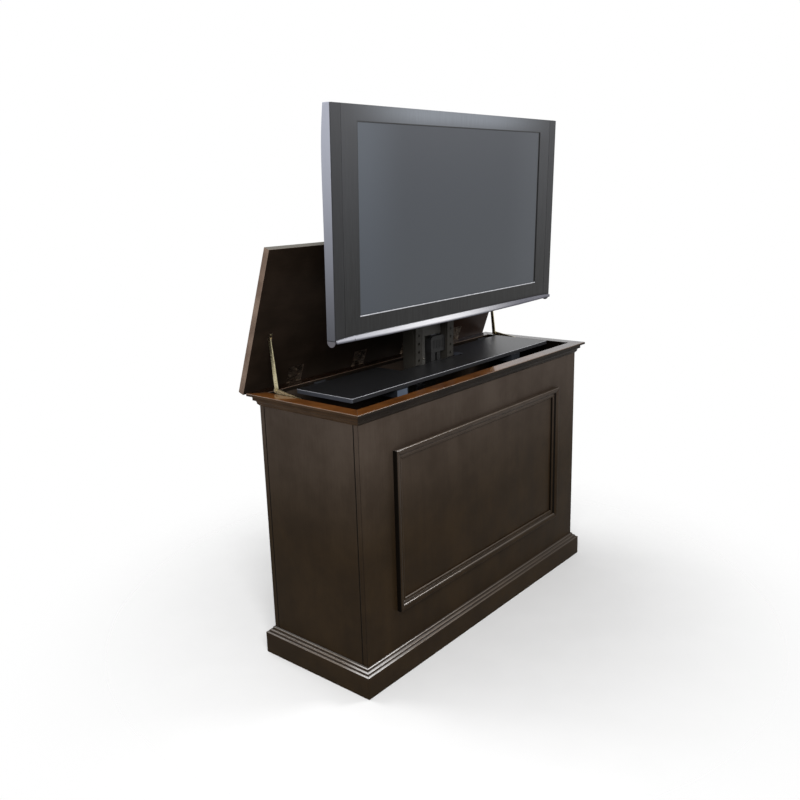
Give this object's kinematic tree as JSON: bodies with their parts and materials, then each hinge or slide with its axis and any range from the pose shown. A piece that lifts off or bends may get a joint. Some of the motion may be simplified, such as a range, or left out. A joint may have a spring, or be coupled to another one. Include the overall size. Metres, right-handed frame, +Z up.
{
  "type": "tv lift cabinet",
  "caption": "Free-standing wooden cabinet with a hinged lid and a telescopic lift that raises a flat television and an equipment shelf out of it.",
  "frame": {"origin": "centre of the cabinet body's footprint on the floor", "axes": "+X to the right seen from the front, +Y to the back, +Z up; the screen faces -Y"},
  "size_m": [1.27, 0.4841, 1.6582],
  "materials": {
    "espresso_wood": "dark brown stained veneer under satin lacquer",
    "rim_wood": "brown stained solid wood under glossy lacquer",
    "inner_board": "dark stained board, matt",
    "shelf_board": "black laminated board, satin",
    "bright_steel": "bright zinc plated steel",
    "dark_steel": "dark grey powder coat",
    "grey_steel": "blue grey paint",
    "brass_stay": "brass plated, satin",
    "guide_nylon": "white sliding nylon",
    "rubber_pad": "black, matt",
    "black_cover": "black moulded plastic",
    "tv_case": "charcoal moulded plastic, satin",
    "tv_glass": "dark grey screen, unlit",
    "silver_trim": "silver painted plastic, glossy"
  },
  "bodies": {
    "cabinet": {"back_base_moulding": "espresso_wood", "back_panel": "espresso_wood", "back_top_moulding": "rim_wood", "column_wall_bracket": "dark_steel", "control_box": "black_cover", "fixed_column": "dark_steel", "fixed_rack": "bright_steel", "floor_panel": "inner_board", "front_base_moulding": "espresso_wood", "front_panel": "espresso_wood", "front_top_moulding": "rim_wood", "hinge_body_leaf_1": "bright_steel", "hinge_body_leaf_2": "bright_steel", "hinge_body_leaf_3": "bright_steel", "hinge_body_leaf_4": "bright_steel", "left_base_moulding": "espresso_wood", "left_side_panel": "espresso_wood", "left_stay_bracket": "brass_stay", "left_top_moulding": "rim_wood", "panel_moulding_bottom": "espresso_wood", "panel_moulding_left": "espresso_wood", "panel_moulding_right": "espresso_wood", "panel_moulding_top": "espresso_wood", "right_base_moulding": "espresso_wood", "right_side_panel": "espresso_wood", "right_stay_bracket": "brass_stay", "right_top_moulding": "rim_wood"},
    "lid": {"lid_panel": "espresso_wood", "left_lid_bracket": "brass_stay", "right_lid_bracket": "brass_stay", "hinge_lid_leaf_1": "bright_steel", "hinge_lid_leaf_2": "bright_steel", "hinge_lid_leaf_3": "bright_steel", "hinge_lid_leaf_4": "bright_steel"},
    "middle_stage": {"middle_column": "dark_steel", "column_guide": "guide_nylon", "lid_bumper": "rubber_pad", "drive_motor": "dark_steel", "motor_housing": "black_cover", "mast_plate": "dark_steel"},
    "carriage": {"left_carriage_tube": "dark_steel", "right_carriage_tube": "dark_steel", "upper_cross_member": "dark_steel", "carriage_rack": "bright_steel", "equipment_shelf": "shelf_board", "shelf_bearer": "grey_steel", "left_tv_rail": "dark_steel", "right_tv_rail": "dark_steel", "tv_bezel": "tv_case", "tv_screen": "tv_glass", "tv_back_cover": "tv_case", "tv_bottom_trim": "silver_trim", "tv_left_trim": "silver_trim", "tv_right_trim": "silver_trim"},
    "left_lower_link": {"left_lower_link": "brass_stay"},
    "right_lower_link": {"right_lower_link": "brass_stay"},
    "left_upper_link": {"left_upper_link": "brass_stay"},
    "right_upper_link": {"right_upper_link": "brass_stay"},
    "pinion": {"drive_pinion": "bright_steel"},
    "power_button": {"tv_power_button": "silver_trim"}
  },
  "joints": [
    {"name": "lift_slide", "type": "slide", "parent": "cabinet", "child": "carriage", "axis": [0, 0, 1], "range_m": [-0.806, 0]},
    {"name": "middle_slide", "type": "slide", "parent": "cabinet", "child": "middle_stage", "axis": [0, 0, 1], "range_m": [-0.4031, 0]},
    {"name": "pinion_turn", "type": "hinge", "parent": "middle_stage", "child": "pinion", "pos_m": [0, 0.036, 0.842], "axis": [0, -1, 0], "range_deg": [-1155, 0]},
    {"name": "lid_hinge", "type": "hinge", "parent": "cabinet", "child": "lid", "pos_m": [0, 0.232, 0.852], "axis": [-1, 0, 0], "range_deg": [0, 12]},
    {"name": "left_lower_link_turn", "type": "hinge", "parent": "cabinet", "child": "left_lower_link", "pos_m": [-0.58515, 0.01, 0.846], "axis": [1, 0, 0], "range_deg": [0, 8.5]},
    {"name": "left_upper_link_turn", "type": "hinge", "parent": "lid", "child": "left_upper_link", "pos_m": [-0.58155, 0.165, 1.022], "axis": [-1, 0, 0], "range_deg": [0, 3.65]},
    {"name": "right_lower_link_turn", "type": "hinge", "parent": "cabinet", "child": "right_lower_link", "pos_m": [0.58515, 0.01, 0.846], "axis": [1, 0, 0], "range_deg": [0, 8.5]},
    {"name": "right_upper_link_turn", "type": "hinge", "parent": "lid", "child": "right_upper_link", "pos_m": [0.58155, 0.165, 1.022], "axis": [-1, 0, 0], "range_deg": [0, 3.65]},
    {"name": "power_button_press", "type": "slide", "parent": "carriage", "child": "power_button", "axis": [0, 0.9996, 0.0297], "range_m": [0, 0.0015], "stiffness_N_per_m": 400, "springref_m": -0.0005}
  ],
  "couplings": [
    {"joint": "middle_slide", "follows": "lift_slide", "ratio": 0.5},
    {"joint": "pinion_turn", "follows": "lift_slide", "rad_per_m": 25},
    {"joint": "left_lower_link_turn", "follows": "lid_hinge", "ratio": 0.7073},
    {"joint": "left_upper_link_turn", "follows": "lid_hinge", "ratio": 0.3037},
    {"joint": "right_lower_link_turn", "follows": "lid_hinge", "ratio": 0.7073},
    {"joint": "right_upper_link_turn", "follows": "lid_hinge", "ratio": 0.3037}
  ]
}
